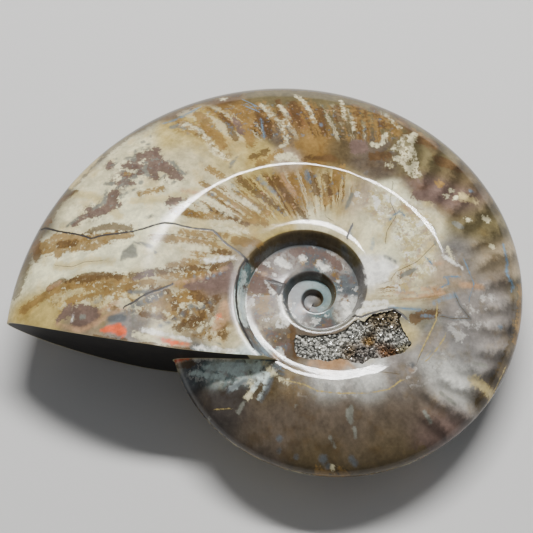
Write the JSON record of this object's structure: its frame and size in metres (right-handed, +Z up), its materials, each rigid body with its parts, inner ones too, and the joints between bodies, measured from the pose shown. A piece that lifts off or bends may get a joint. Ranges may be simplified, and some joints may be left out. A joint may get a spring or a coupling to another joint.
{
  "type": "polished cleoniceras ammonite fossil",
  "caption": "Flat-coiled polished ammonite fossil lying on its side, with a ground end face and an open pocket lined with crystals.",
  "frame": {"origin": "centre of the bounding box at its base, on the surface that the fossil lies on", "axes": "+X away from the cut end along the longest extent, +Z up, close to the coiling axis"},
  "size_m": [0.1298, 0.1076, 0.0294],
  "materials": {
    "polished_shell": "cream, golden brown and grey fossil shell with touches of red and blue-green, polished to a high gloss",
    "crystal_crust": "small grey, white and honey-coloured crystals with sharp glassy faces"
  },
  "bodies": {
    "root": {"ammonite_shell": "polished_shell", "crystal_crust": "crystal_crust"}
  },
  "joints": []
}
